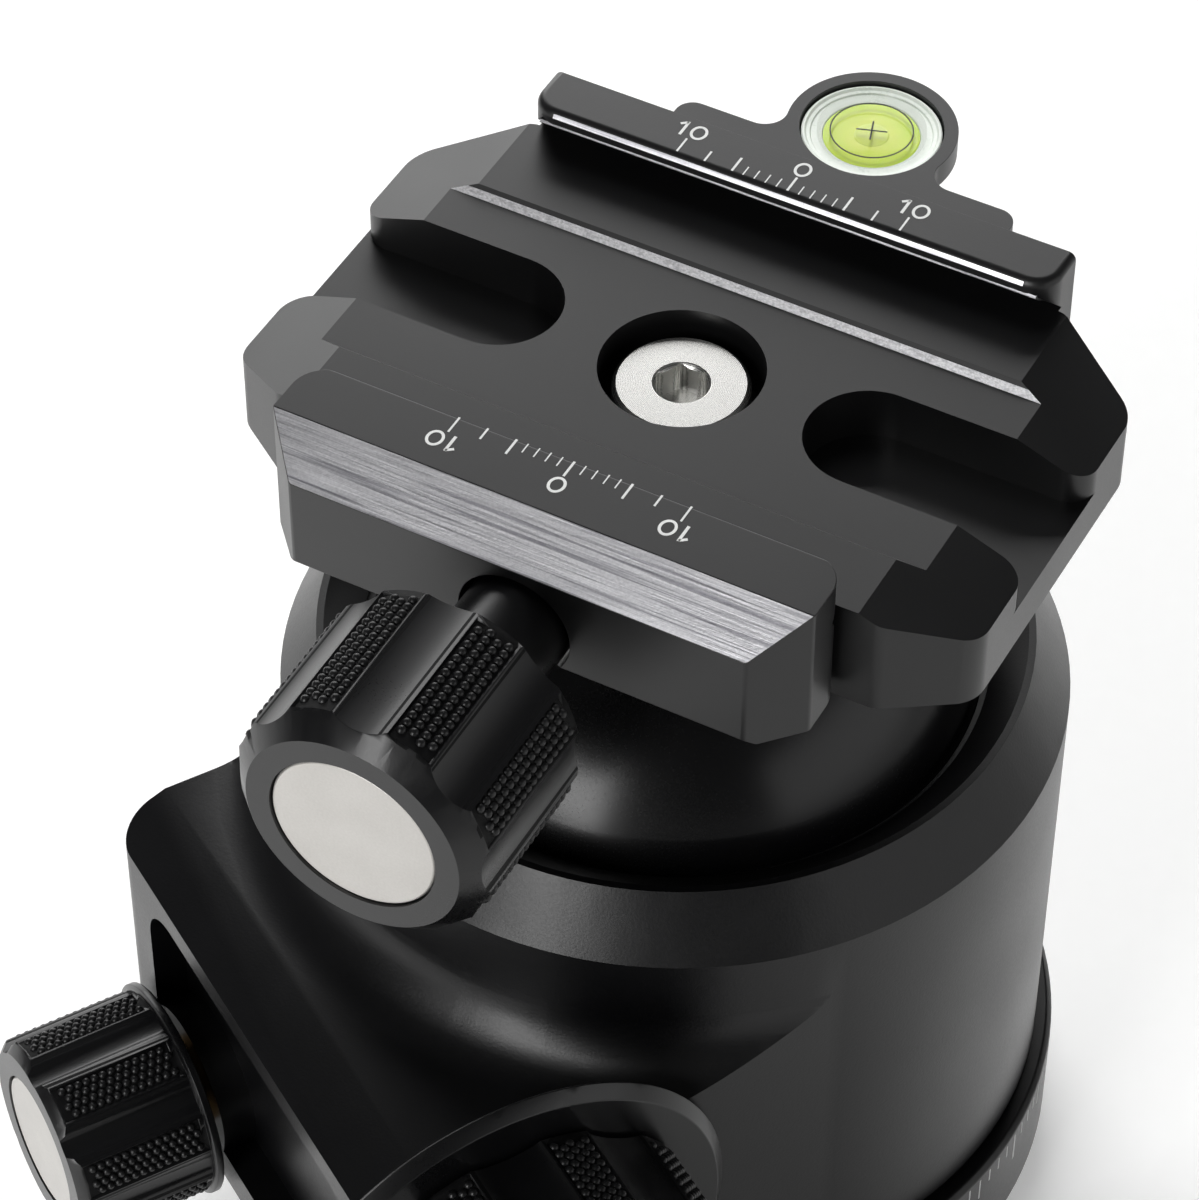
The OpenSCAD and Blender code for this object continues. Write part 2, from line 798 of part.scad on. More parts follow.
module anti_twist_pins() {
    color("silver") for (s = [-1, 1]) translate([s * twist_pin_at, 0, 0])
        pin(twist_pin_r - fit / 2, under_z - twist_pin_l / 2, under_z + twist_pin_l / 2 - 1);
}

module clamp_screw() {
    color("gainsboro") difference() {
        union() {
            bar(screw_d / 2, screw_seat - screw_l, screw_seat + 1);
            pin(screw_head_d / 2, screw_seat + eps, screw_top, 0.35);
        }
        translate([0, 0, screw_top - 2.8])
            cylinder(d = screw_hex / cos(30), h = 4, $fn = 6);
        translate([0, 0, screw_top - 0.35])
            cylinder(r1 = screw_hex / 2, r2 = screw_hex / 2 + 0.8, h = 0.8);
    }
}

// ---------------------------------------------------------------- clamp

// Plan of the clamp body
module body_plan() {
    soft_outline([[body_end, side_front], [body_end, side_rear],
                  rear_corner, [-rear_corner[0], rear_corner[1]],
                  [-body_end, side_rear], [-body_end, side_front],
                  [-front_corner[0], front_corner[1]], front_corner],
                 [3, 3, 2, 2, 3, 3, 2, 2]);
}

// Section across the jaws: deck, rails and the steps between them
module body_section() {
    polygon([[-body_front - 1, under_z], [rear_corner[1] + 1, under_z],
             [rear_corner[1] + 1, rail_z], [deck_rear + deck_drop, rail_z],
             [deck_rear, deck_z], [-deck_front, deck_z],
             [-deck_front - deck_drop, rail_z], [-body_front - 1, rail_z]]);
}

// Section along the jaws: the ends slope down
module end_section() {
    lo = rail_z - end_slope[1][1];
    inner = end_slope[0][0] + body_end - end_slope[1][0];
    polygon([[-body_end, under_z], [body_end, under_z], [body_end, lo],
             [inner, rail_z], [-inner, rail_z], [-body_end, lo]]);
}

// Fixed jaw: an upright wall with an overhanging lip
module fixed_jaw() {
    under = lip_t;
    v_depth = jaw_rise - under;
    translate([-fixed_jaw_l / 2, 0, 0]) rotate([90, 0, 90])
        linear_extrude(fixed_jaw_l)
            polygon([[fixed_edge - 2, under_z], [fixed_back, under_z],
                     [fixed_back, head_h], [fixed_edge + fine_edge, head_h],
                     [fixed_edge, head_h - fine_edge], [fixed_edge, head_h - under],
                     [fixed_edge + v_depth, rail_z], [fixed_edge - 2, rail_z]]);
}

// Rounds the lip's front corners without touching the ledge under them
module lip_corners() {
    r = 2.4;
    for (s = [-1, 1]) translate([s * fixed_jaw_l / 2, fixed_edge, rail_z])
        linear_extrude(jaw_rise + 1) difference() {
            translate([s > 0 ? -r : -1, -1]) square([r + 1, r + 1]);
            translate([-s * r, r]) circle(r);
        }
}

// Slot that opens through the end of the clamp body with a flared mouth
module end_slot() {
    r = slot_w / 2;
    flare = 2.2;
    translate([0, 0, rail_z - slot_depth]) {
        bar_at = slot_end + r;
        translate([bar_at, 0, 0]) cylinder(r = r, h = slot_depth + 1);
        translate([bar_at, -r, 0]) cube([body_l, slot_w, slot_depth + 1]);
        for (s = [-1, 1]) translate([body_end, s * r, 0]) difference() {
            translate([-flare, s > 0 ? -0.01 : -flare, 0])
                cube([flare + 1, flare + 0.01, slot_depth + 1]);
            translate([-flare, s * flare, -1]) cylinder(r = flare, h = slot_depth + 3);
        }
    }
}

module clamp_body() {
    color("#26272b") difference() {
        union() {
            intersection() {
                translate([0, 0, under_z]) linear_extrude(body_t + 1) body_plan();
                translate([-body_end - 1, 0, 0]) rotate([90, 0, 90])
                    linear_extrude(body_l + 2) body_section();
                translate([0, 40, 0]) rotate([90, 0, 0]) linear_extrude(80) end_section();
            }
            fixed_jaw();
        }
        lip_corners();
        end_slot();
        mirror([1, 0, 0]) end_slot();
        bar(counterbore_d / 2, screw_seat, head_h);
        bar(screw_d / 2 + fit, under_z - 1, head_h);
        for (s = [-1, 1]) {
            translate([s * twist_pin_at, 0, 0])
                bar(twist_pin_r, under_z - 1, under_z + twist_pin_l / 2 - 0.9);
            toward_front(s * pin_spacing / 2, knob_z) {
                bar(pin_d / 2, pin_root, body_front + 1);
                bar(spring_pocket_r, spring_root, body_front + 1);
            }
            toward_front(s * bracket_w / 3, bracket_screw_z)
                bar(0.85, -fixed_back - 1, -fixed_back + 4);
        }
        toward_front(0, knob_z) bar(shaft_d / 2 + fit, shaft_hole_end, body_front + 1);
    }
}

// Movable jaw: one bar with its lip, bright chamfer and foot
module movable_jaw() {
    v_depth = jaw_rise - lip_t;
    foot_z = head_h - jaw_h;
    half = jaw_l / 2;
    color("#26272b") difference() {
        intersection() {
            translate([-half, 0, 0]) rotate([90, 0, 90]) linear_extrude(jaw_l)
                polygon([[-jaw_back, foot_z], [-jaw_back, rail_z - 1.2],
                         [-jaw_edge - v_depth, rail_z], [-jaw_edge, head_h - lip_t],
                         [-jaw_edge, head_h - fine_edge], [-jaw_edge - fine_edge, head_h],
                         [-jaw_front_top, head_h], [-jaw_front, head_h - jaw_chamfer_h],
                         [-jaw_front, foot_z + 0.8], [-jaw_front + 0.8, foot_z]]);
            translate([0, 0, foot_z - 1]) linear_extrude(jaw_h + 2)
                soft_outline([[-half, -jaw_front_top], [-half + jaw_corner, -jaw_front],
                              [half - jaw_corner, -jaw_front], [half, -jaw_front_top],
                              [half, -jaw_edge], [-half, -jaw_edge]],
                             [0.6, 0.6, 0.6, 0.6, 3, 3]);
        }
        toward_front(0, knob_z) {
            bar(knob_recess_d / 2, knob_seat, jaw_front + 1);
            bar(shaft_d / 2 + 0.3, 0, jaw_front);
        }
        for (s = [-1, 1]) toward_front(s * pin_spacing / 2, knob_z)
            bar(pin_d / 2 + fit, 0, pin_hole_end);
    }
}

module guide_pins() {
    color("silver") for (s = [-1, 1]) toward_front(s * pin_spacing / 2, knob_z)
        pin(pin_d / 2, pin_root, pin_tip);
}

// Coil springs on the guide pins, in pockets of the clamp body
module jaw_springs() {
    wire = 0.35;
    mean = pin_d / 2 + 0.15 + wire;
    turns = 5;
    span = jaw_back - spring_root - 0.8 - wire * 2;
    sides = 8;
    rings = turns * 14;
    path = [for (i = [0 : rings]) let (a = i * 360 * turns / rings)
        [mean * cos(a), mean * sin(a), spring_root + wire + span * i / rings]];
    points = [for (i = [0 : rings]) let (a = i * 360 * turns / rings) for (k = [0 : sides - 1])
        let (b = k * 360 / sides)
        path[i] + wire * [cos(a) * cos(b), sin(a) * cos(b), sin(b)]];
    side = [for (i = [0 : rings - 1], k = [0 : sides - 1])
        let (j = (k + 1) % sides)
        [i * sides + k, i * sides + j, (i + 1) * sides + j, (i + 1) * sides + k]];
    first = [for (k = [sides - 1 : -1 : 0]) k];
    last = [for (k = [0 : sides - 1]) rings * sides + k];
    color("silver") for (s = [-1, 1]) toward_front(s * pin_spacing / 2, knob_z)
        polyhedron(points, concat(side, [first, last]));
}

module clamp_knob() {
    neck_r = knob_neck_d / 2;
    color("#1f2023") toward_front(0, knob_z) difference() {
        union() {
            translate([0, 0, knob_rear])
                fluted_grip(knob_d / 2, knob_l, 8, 1.9, knob_d / 2 - clamp_cap_in,
                            clamp_cap_deep);
            rotate_extrude()
                polygon([[0, knob_seat + 0.9], [neck_r - fine_edge, knob_seat + 0.9],
                         [neck_r, knob_seat + 0.9 + fine_edge], [neck_r, knob_rear - 1.2],
                         [neck_r + 1.2, knob_rear], [neck_r + 1.2, knob_rear + 1],
                         [0, knob_rear + 1]]);
        }
        bar(shaft_d / 2 + eps, knob_seat, knob_rear + 9.1);
    }
}

module clamp_knob_cap() {
    color("gainsboro") toward_front(0, knob_z)
        pin(knob_d / 2 - clamp_cap_in - 0.12, knob_front - clamp_cap_deep, knob_front - 0.15,
            0.15);
}

module clamp_shaft() {
    color("silver") toward_front(0, knob_z) pin(shaft_d / 2, shaft_tip, knob_rear + 9);
}

module clamp_thrust_washer() {
    color("silver") toward_front(0, knob_z)
        tube(knob_recess_d / 2 - 0.4, shaft_d / 2 + 0.1, knob_seat + fit, knob_seat + 0.85);
}

// ---------------------------------------------------------------- level

module level_bracket() {
    half = bracket_w / 2;
    lug_r = lug_d / 2;
    back = fixed_back + bracket_out;
    neck = sqrt(pow(lug_r, 2) - pow(back - level_y, 2));
    color("#26272b") difference() {
        union() {
            translate([0, 0, bracket_z]) linear_extrude(bracket_t) difference() {
                union() {
                    soft_outline([[-half, fixed_back], [half, fixed_back], [half, back],
                                  [-half, back]], [0, 0, 1.6, 1.6]);
                    translate([0, level_y]) circle(lug_r);
                    // fillets between the straight back and the round lug
                    for (s = [-1, 1]) mirror([s > 0 ? 0 : 1, 0])
                        lug_fillet(neck, back, lug_r, 2);
                }
            }
            // tab that is screwed to the back of the fixed jaw
            translate([-half, fixed_back, bracket_z - 4]) cube([bracket_w, 2, 5]);
        }
        translate([0, level_y, bracket_z + 0.5]) bar(vial_r + 0.1, 0, 10);
        for (s = [-1, 1]) toward_front(s * bracket_w / 3, bracket_screw_z)
            bar(1.1, -fixed_back - 10, -fixed_back + 1);
    }
}

// Concave fillet between a line y = back and the lug's circle, on the +X side
module lug_fillet(neck, back, lug_r, r) {
    cy = back + r;
    cx = sqrt(pow(lug_r + r, 2) - pow(cy - level_y, 2));
    touch = [cx, cy] + (([0, level_y] - [cx, cy]) / (lug_r + r)) * r;
    difference() {
        polygon([[0, back - 1], [cx, back - 1], [cx, back], [cx, cy], touch, [0, level_y]]);
        translate([cx, cy]) circle(r);
    }
}

module bracket_screws() {
    color("silver") for (s = [-1, 1])
        toward_front(s * bracket_w / 3, bracket_screw_z)
            mirror([0, 0, 1]) cap_screw(0.82, 1.8, 1.2, fixed_back - 3, fixed_back + 3.2, 1.3);
}

module level_cup() {
    color("white") translate([0, level_y, 0]) difference() {
        bar(vial_r, bracket_z + 0.5, vial_top);
        bar(vial_r - vial_wall, bracket_z + 0.5 + vial_floor, head_h);
    }
}

module level_fluid() {
    color("yellowgreen") translate([0, level_y, 0])
        bar(vial_r - vial_wall - eps, bracket_z + 0.5 + vial_floor, vial_top - lens_drop);
}

module level_lens() {
    color("lightcyan") translate([0, level_y, 0])
        bar(vial_r - vial_wall - eps, vial_top - lens_drop, vial_top - 0.1);
}

// ---------------------------------------------------------------- nodes

base_plate();
thread_insert();
pan_drum();
drum_screws_set();
pan_bearing_washer();
housing();
drum_carrier();
retaining_ring();
retaining_ring_screws();
upper_ball_liner();
cup_spring();
wedge_channel_plug();
main_shaft_bush();
pan_shaft_bush();
lower_ball_cup();
clamp_screw();
ball();
anti_twist_pins();
clamp_body();
level_bracket();
bracket_screws();
level_cup();
level_fluid();
level_lens();
guide_pins();
jaw_springs();
movable_jaw();
clamp_knob();
clamp_knob_cap();
clamp_shaft();
clamp_thrust_washer();
main_knob();
main_knob_cap();
main_shaft();
friction_ring();
lock_wedge();
ball_shoe();
pan_knob();
pan_knob_cap();
pan_shaft();
pan_shoe();
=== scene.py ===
"""Finishes, printing, knurling and studio for a tripod ball head.

Every length below is in millimetres and is turned into metres by MM, unless a
comment says otherwise. Colours are linear.
"""

import json
import math

import bmesh
import bpy
from mathutils import Matrix, Vector


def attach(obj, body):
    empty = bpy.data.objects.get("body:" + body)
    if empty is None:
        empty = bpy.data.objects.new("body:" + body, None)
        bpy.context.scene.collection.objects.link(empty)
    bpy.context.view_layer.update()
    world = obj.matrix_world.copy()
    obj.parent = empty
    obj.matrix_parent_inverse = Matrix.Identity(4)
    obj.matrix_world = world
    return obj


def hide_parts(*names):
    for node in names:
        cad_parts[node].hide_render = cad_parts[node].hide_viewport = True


MM = 0.001

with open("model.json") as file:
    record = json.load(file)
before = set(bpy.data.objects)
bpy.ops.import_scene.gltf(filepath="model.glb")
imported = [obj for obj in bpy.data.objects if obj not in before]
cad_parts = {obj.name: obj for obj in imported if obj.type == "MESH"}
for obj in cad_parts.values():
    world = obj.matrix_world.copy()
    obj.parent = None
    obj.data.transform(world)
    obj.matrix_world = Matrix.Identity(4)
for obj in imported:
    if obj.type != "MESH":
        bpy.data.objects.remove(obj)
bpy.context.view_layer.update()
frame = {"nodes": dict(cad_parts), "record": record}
nodes = frame["nodes"]
BODY_OF = {}
for body_name, members in frame["record"]["behaviour"]["bodies"].items():
    for member in members:
        BODY_OF[member] = body_name

# Places that repeat the construction's own
HEAD_TOP = 96.0  # top of both jaws
KNOB_Z = 87.0  # axis of the clamp knob
LEVEL_Y = 33.8  # middle of the bubble level
CUP_HOLE_R = 5.8  # hole in the bracket round the level's cup
BLOCK_TURN = 32.5  # turn of the lock block about the vertical, in degrees
MAIN_REACH = 35.0  # axis of the main knob, out from the housing's middle
MAIN_Z = 36.0  # height of that axis
PAN_SIDE = -5.3  # axis of the pan knob, along the block's face
PAN_Z = 22.7  # height of that axis
PAN_RING_R = 34.5
PAN_TICKS_TOP = 14.6
FIXED_EDGE = 17.3  # front of the fixed jaw's top
FIXED_BACK = 22.15  # rear of the fixed jaw's top
FIXED_HALF = 23.5  # half the fixed jaw's length
LIP_LOW = 94.75  # where the slope under the fixed jaw's lip begins
REAR_STEP = (10.2, 91.7)  # middle (y, z) of the slope from the deck to the rear rail
BARE_TOP = 91.8  # height on that slope up to which it is bare
JAW_SLOPE = (0, -0.6493, 0.7605)  # normal of the movable jaw's front chamfer

# Cleaning of the copies
WELD = 2e-6  # joins corners nearer than this, in metres
FLAT_TURN = math.radians(0.5)  # joins faces that turn by less


# ---------------------------------------------------------------- finishes


def add(tree, kind, **values):
    """A shader node with some of its inputs set."""
    node = tree.nodes.new(kind)
    for name, value in values.items():
        node.inputs[name.replace("_", " ")].default_value = value
    return node


def new_finish(name):
    """A node material, with its tree and its shader."""
    finish = bpy.data.materials.new(name)
    finish.use_nodes = True
    return finish, finish.node_tree, finish.node_tree.nodes["Principled BSDF"]


def place_pattern(tree, stretch=(1, 1, 1), centre=(0, 0, 0)):
    """The piece's own coordinates, centred and stretched for a pattern."""
    coords = tree.nodes.new("ShaderNodeTexCoord")
    mapping = tree.nodes.new("ShaderNodeMapping")
    mapping.vector_type = "TEXTURE"
    mapping.inputs["Location"].default_value = [c * MM for c in centre]
    mapping.inputs["Scale"].default_value = stretch
    tree.links.new(coords.outputs["Object"], mapping.inputs["Vector"])
    return mapping.outputs["Vector"]


def cloud(tree, vector, size, detail):
    """Noise whose spots are about so many millimetres across."""
    noise = add(tree, "ShaderNodeTexNoise", Scale=1 / (size * MM), Detail=detail)
    tree.links.new(vector, noise.inputs["Vector"])
    return noise.outputs["Fac"]


def spread(tree, value, low, high, from_low=0.3, from_high=0.7):
    """Maps a value from one range to another."""
    to_range = tree.nodes.new("ShaderNodeMapRange")
    to_range.inputs["From Min"].default_value = from_low
    to_range.inputs["From Max"].default_value = from_high
    to_range.inputs["To Min"].default_value = low
    to_range.inputs["To Max"].default_value = high
    tree.links.new(value, to_range.inputs["Value"])
    return to_range.outputs["Result"]


def blended(tree, first, second, share):
    """Blends two values, with the second one's share."""
    mix = tree.nodes.new("ShaderNodeMix")
    mix.data_type = "FLOAT"
    mix.inputs["Factor"].default_value = share
    tree.links.new(first, mix.inputs["A"])
    tree.links.new(second, mix.inputs["B"])
    return mix.outputs["Result"]


def tint(tree, value, dark, light, from_low=0.3, from_high=0.7):
    """A colour between two, by a value."""
    ramp = tree.nodes.new("ShaderNodeValToRGB")
    ends = ramp.color_ramp.elements
    for end, place, colour in ((ends[0], from_low, dark), (ends[1], from_high, light)):
        end.position = place
        end.color = (*colour, 1)
    tree.links.new(value, ramp.inputs["Fac"])
    return ramp.outputs["Color"]


def relief(tree, value, depth):
    """Bump of so many millimetres."""
    bump = add(tree, "ShaderNodeBump", Strength=1.0, Distance=depth * MM)
    tree.links.new(value, bump.inputs["Height"])
    return bump.outputs["Normal"]


def surface(name, dark, light, gloss, grain, depth, metallic=0.0, ior=1.5, patch=14.0,
            coat=0.0):
    """A finish with fine grain, slow changes of tone and uneven gloss.

    gloss is the lowest and highest roughness. grain and patch are the sizes of the
    fine and the slow pattern, and depth is the fine one's relief.
    """
    finish, tree, shader = new_finish(name)
    own = place_pattern(tree)
    fine = cloud(tree, own, grain, 3.0)
    slow = cloud(tree, own, patch, 2.0)
    both = blended(tree, slow, fine, 0.45)
    tree.links.new(tint(tree, both, dark, light), shader.inputs["Base Color"])
    tree.links.new(spread(tree, both, *gloss), shader.inputs["Roughness"])
    tree.links.new(relief(tree, fine, depth), shader.inputs["Normal"])
    shader.inputs["Metallic"].default_value = metallic
    shader.inputs["IOR"].default_value = ior
    if coat:
        shader.inputs["Coat Weight"].default_value = coat
        shader.inputs["Coat Roughness"].default_value = 0.08
    return finish


def turned_metal(name, dark, light, gloss, pitch, depth):
    """Bright metal with the fine rings a lathe leaves round the local Z axis."""
    finish, tree, shader = new_finish(name)
    own = place_pattern(tree)
    wave_period = 0.314  # of the wave texture at scale 1
    rings = add(tree, "ShaderNodeTexWave", Scale=wave_period / (pitch * MM),
                Distortion=1.5, Detail=3.0, Detail_Scale=2.0)
    rings.wave_type = "RINGS"
    rings.rings_direction = "Z"
    tree.links.new(own, rings.inputs["Vector"])
    speck = cloud(tree, own, 0.12, 3.0)
    both = blended(tree, rings.outputs["Fac"], speck, 0.5)
    tree.links.new(tint(tree, both, dark, light), shader.inputs["Base Color"])
    tree.links.new(spread(tree, both, *gloss), shader.inputs["Roughness"])
    tree.links.new(relief(tree, both, depth), shader.inputs["Normal"])
    shader.inputs["Metallic"].default_value = 1.0
    return finish


def streaked_metal(name, dark, light, score, gloss, stretch, metallic=1.0):
    """Bare milled metal: fine lines, with a few darker scores.

    stretch draws the lines out along an axis, and score is the colour by which the
    scores darken.
    """
    finish, tree, shader = new_finish(name)
    drawn = place_pattern(tree, stretch)
    lines = cloud(tree, drawn, 0.11, 4.0)
    broad = cloud(tree, drawn, 0.34, 3.0)
    speck = cloud(tree, place_pattern(tree), 0.22, 3.0)
    both = blended(tree, lines, speck, 0.4)
    darken = tree.nodes.new("ShaderNodeMix")
    darken.data_type = "RGBA"
    darken.blend_type = "MULTIPLY"
    darken.inputs["Factor"].default_value = 1.0
    tree.links.new(tint(tree, both, dark, light), darken.inputs["A"])
    tree.links.new(tint(tree, broad, score, (1, 1, 1), 0.36, 0.5), darken.inputs["B"])
    tree.links.new(darken.outputs["Result"], shader.inputs["Base Color"])
    tree.links.new(spread(tree, lines, *gloss), shader.inputs["Roughness"])
    tree.links.new(relief(tree, both, 0.02), shader.inputs["Normal"])
    shader.inputs["Metallic"].default_value = metallic
    return finish


BLACK = {
    # Bead-blasted anodising of the housing and the base
    "housing": surface("blasted_black", (0.0018, 0.0018, 0.0022), (0.004, 0.004, 0.0046),
                       (0.30, 0.40), grain=0.24, depth=0.010, ior=1.52),
    # Milled and finely blasted anodising of the clamp and its jaw
    "clamp": surface("satin_black", (0.0035, 0.0035, 0.0038), (0.007, 0.007, 0.0074),
                     (0.34, 0.42), grain=0.14, depth=0.004, ior=1.62),
    "jaw": surface("jaw_black", (0.0035, 0.0035, 0.0038), (0.007, 0.007, 0.0074),
                   (0.34, 0.42), grain=0.14, depth=0.004, ior=1.62),
    "ball": surface("ball_black", (0.002, 0.002, 0.0024), (0.005, 0.005, 0.0055),
                    (0.22, 0.30), grain=0.2, depth=0.004),
    "grip": surface("grip_black", (0.002, 0.002, 0.0024), (0.005, 0.005, 0.0056),
                    (0.26, 0.34), grain=0.16, depth=0.004, ior=1.6),
    # Floor between the beads of a knurled grip: its darker colour is painted shade in the
    # recess, and blasting leaves it rougher
    "knurl_floor_painted_shade": surface("knurl_floor_painted_shade", (0.0010, 0.0010, 0.0012), (0.003, 0.003, 0.0034),
                           (0.60, 0.75), grain=0.2, depth=0.008, ior=1.35),
    # Beads of the grips: lighter than the grip's own anodising, a painted highlight on their
    # tops
    "bead": surface("bead_black_painted_highlight", (0.005, 0.005, 0.0055), (0.011, 0.011, 0.0115),
                    (0.32, 0.42), grain=0.2, depth=0.006),
}
MILLED_STEP = streaked_metal("milled_step", (0.46, 0.46, 0.47), (0.90, 0.89, 0.91),
                             (0.76, 0.76, 0.77), (0.34, 0.45), (2, 1, 1), 0.9)
# Bare cut metal: the movable jaw's real chamfer, and also the bright strips that paint
# highlights along the fixed jaw's edges
BARE_CUT_AND_PAINTED_HIGHLIGHT = streaked_metal("bare_cut_and_painted_highlight", (0.60, 0.595, 0.625), (0.92, 0.915, 0.94),
                              (0.52, 0.515, 0.54), (0.30, 0.40), (60, 1, 1))
STAINLESS_HEAD = turned_metal("stainless_head", (0.74, 0.735, 0.71), (0.88, 0.875, 0.85),
                              (0.24, 0.34), 0.13, 0.0012)
STEEL = surface("machined_steel", (0.42, 0.42, 0.41), (0.62, 0.62, 0.61), (0.25, 0.4),
                metallic=1.0, grain=0.12, depth=0.004)
SPRING = surface("spring_wire", (0.40, 0.40, 0.40), (0.58, 0.57, 0.55), (0.25, 0.38),
                 metallic=1.0, grain=0.1, depth=0.004)
RAW_ALUMINIUM = turned_metal("turned_aluminium", (0.50, 0.50, 0.51), (0.70, 0.70, 0.71),
                             (0.28, 0.42), 0.3, 0.006)
BRONZE = surface("sintered_bronze", (0.36, 0.22, 0.09), (0.58, 0.39, 0.18), (0.35, 0.5),
                 metallic=1.0, grain=0.25, depth=0.015)
LINER_BLACK = surface("liner_black", (0.006, 0.006, 0.006), (0.012, 0.012, 0.012),
                      (0.5, 0.6), grain=0.3, depth=0.006)
BEARING_PLASTIC = surface("bearing_plastic", (0.66, 0.64, 0.57), (0.78, 0.76, 0.69),
                          (0.45, 0.6), grain=0.3, depth=0.006)
SATIN_DISC = surface("satin_disc", (0.58, 0.56, 0.53), (0.68, 0.66, 0.63), (0.34, 0.42),
                     metallic=0.55, grain=0.22, depth=0.003, patch=5.0)
PRINT_WHITE = surface("print_white", (0.70, 0.71, 0.70), (0.86, 0.86, 0.85), (0.5, 0.6),
                      grain=0.15, depth=0.004, patch=2.0)
CUP_WHITE = surface("cup_white", (0.80, 0.88, 0.79), (0.93, 0.97, 0.91), (0.25, 0.35),
                    grain=0.3, depth=0.003, patch=2.5, coat=0.3)
MARK_BLACK = surface("mark_black", (0.008, 0.012, 0.006), (0.02, 0.025, 0.015), (0.4, 0.5),
                     grain=0.1, depth=0.002, patch=1.0)


def level_liquid(name, middle, edge, radius):
    """Yellow-green fluid that pales towards its middle."""
    finish, tree, shader = new_finish(name)
    flat = tree.nodes.new("ShaderNodeVectorMath")
    flat.operation = "MULTIPLY"
    flat.inputs[1].default_value = (1, 1, 0)
    length = tree.nodes.new("ShaderNodeVectorMath")
    length.operation = "LENGTH"
    tree.links.new(place_pattern(tree, centre=(0, LEVEL_Y, 0)), flat.inputs[0])
    tree.links.new(flat.outputs["Vector"], length.inputs[0])
    outwards = spread(tree, length.outputs["Value"], 0.3, 0.7, 0.0, radius * MM)
    soft = blended(tree, outwards, cloud(tree, place_pattern(tree), 1.6, 2.0), 0.25)
    tree.links.new(tint(tree, soft, middle, edge), shader.inputs["Base Color"])
    tree.links.new(spread(tree, soft, 0.16, 0.24), shader.inputs["Roughness"])
    shader.inputs["Coat Weight"].default_value = 0.5
    return finish


def clear_plastic(name):
    """Clear cover of the level, with the faintest unevenness."""
    finish, tree, shader = new_finish(name)
    ripple = cloud(tree, place_pattern(tree), 2.0, 1.0)
    tree.links.new(tint(tree, ripple, (0.20, 0.24, 0.16), (0.30, 0.34, 0.26)),
                   shader.inputs["Base Color"])
    tree.links.new(relief(tree, ripple, 0.01), shader.inputs["Normal"])
    tree.links.new(spread(tree, ripple, 0.03, 0.07), shader.inputs["Roughness"])
    shader.inputs["Alpha"].default_value = 0.08
    return finish


FLUID = level_liquid("level_fluid", (0.98, 1.0, 0.16), (0.66, 0.92, 0.05), 4.0)
BUBBLE = level_liquid("level_bubble", (0.90, 1.0, 0.24), (0.80, 0.95, 0.16), 1.5)
CLEAR = clear_plastic("level_lens")


# ---------------------------------------------------------------- pieces


def cut_loose(bm, name, finish, body, replaced=(), hold_normals=False):
    """Turns a bmesh into a piece that rides on a body.

    finish is one material, or a list that the faces' indices pick from. hold_normals
    keeps the faces' directions as they are.
    """
    if not hold_normals:
        bmesh.ops.recalc_face_normals(bm, faces=bm.faces)
    mesh = bpy.data.meshes.new(name)
    bm.to_mesh(mesh)
    bm.free()
    piece = bpy.data.objects.new(name, mesh)
    bpy.context.scene.collection.objects.link(piece)
    for one in finish if isinstance(finish, (list, tuple)) else [finish]:
        mesh.materials.append(one)
    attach(piece, body)
    if replaced:
        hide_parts(*replaced)
    return piece


def smooth(piece, crease=32):
    """Smooth shading with sharp creases and flats that stay flat."""
    mesh = piece.data
    mesh.polygons.foreach_set("use_smooth", [True] * len(mesh.polygons))
    mesh.set_sharp_from_angle(angle=math.radians(crease))
    flats = piece.modifiers.new("flats", "WEIGHTED_NORMAL")
    flats.mode = "FACE_AREA"
    flats.keep_sharp = True
    flats.weight = 60


def clean(bm):
    """Joins doubled corners and the triangles of a flat."""
    bmesh.ops.remove_doubles(bm, verts=bm.verts, dist=WELD)
    bmesh.ops.dissolve_limit(bm, angle_limit=FLAT_TURN, verts=bm.verts, edges=bm.edges)


def round_off(bm, edges, width, steps):
    """Rounds edges by so many millimetres, in so many steps."""
    bmesh.ops.bevel(bm, geom=edges, offset=width * MM, offset_type="OFFSET",
                    segments=steps, profile=0.5, affect="EDGES", material=-1,
                    clamp_overlap=True)
    bm.normal_update()


def eased(node, finish, width, least=28.0, steps=2, paint=None, shape=None,
          crease=32):
    """A node's copy, with a small round on the edges that turn by more than least.

    shape changes the copy first, and paint gives the index of a face's finish.
    """
    bm = bmesh.new()
    bm.from_mesh(nodes[node].data)
    clean(bm)
    if shape:
        shape(bm)
    sharp = [edge for edge in bm.edges if edge.is_manifold
             and math.degrees(edge.calc_face_angle(0)) > least]
    round_off(bm, sharp, width, steps)
    if paint:
        for face in bm.faces:
            face.material_index = paint(face)
    piece = cut_loose(bm, node + "_finished", finish, BODY_OF[node], [node], True)
    smooth(piece, crease)


def jaw_paint(face):
    """The movable jaw's long front chamfer is cut bare after anodising."""
    return 1 if face.normal.dot(Vector(JAW_SLOPE)) > 0.99 else 0


def on_rim(edge):
    """Whether an edge lies between a level face and an upright one."""
    level = [abs(face.normal.z) > 0.99 for face in edge.link_faces]
    upright = [abs(face.normal.z) < 0.1 for face in edge.link_faces]
    return len(level) == 2 and any(level) and any(upright)


